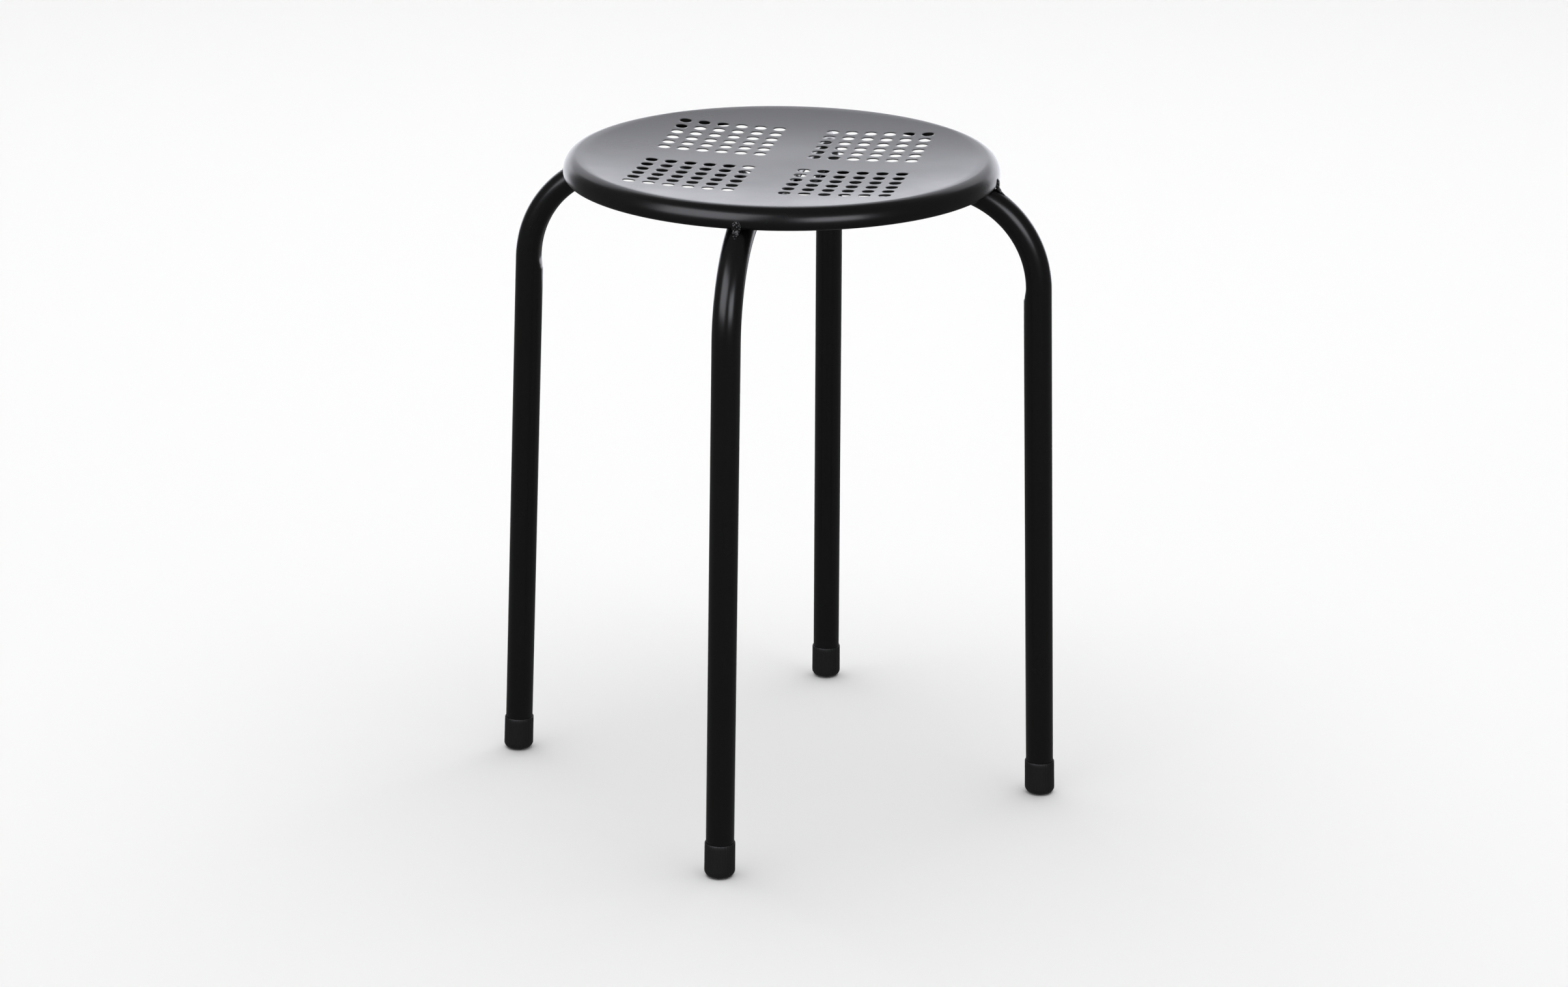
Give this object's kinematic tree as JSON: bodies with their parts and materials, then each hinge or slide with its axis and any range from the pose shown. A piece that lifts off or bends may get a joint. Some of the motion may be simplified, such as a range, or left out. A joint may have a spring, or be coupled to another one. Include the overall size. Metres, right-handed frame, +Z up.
{
  "type": "stacking stool",
  "caption": "Round stacking stool: a dished, perforated sheet-steel seat on crossed hoops of bent tube, whose splayed legs end in ribbed plastic foot caps.",
  "frame": {"origin": "on the floor, under the middle of the seat", "axes": "+Z up; +X to the right leg and +Y to the back leg, along the two bare lanes of the seat"},
  "size_m": [0.3992, 0.3992, 0.45],
  "materials": {
    "seat": "satin black powder coat on pressed sheet steel",
    "hoops": "satin black powder coat on steel tube",
    "welds": "rough weld bead under the same satin black powder coat",
    "foot_caps": "moulded matt black polyethylene with fine upright ribs"
  },
  "bodies": {
    "root": {"seat_pan": "seat", "leg_hoop_left_right": "hoops", "leg_hoop_front_back": "hoops", "foot_cap_right": "foot_caps", "foot_cap_back": "foot_caps", "foot_cap_left": "foot_caps", "foot_cap_front": "foot_caps", "rim_weld_right": "welds", "rim_weld_back": "welds", "rim_weld_left": "welds", "rim_weld_front": "welds", "crossing_weld_right": "welds", "crossing_weld_left": "welds"}
  },
  "joints": []
}
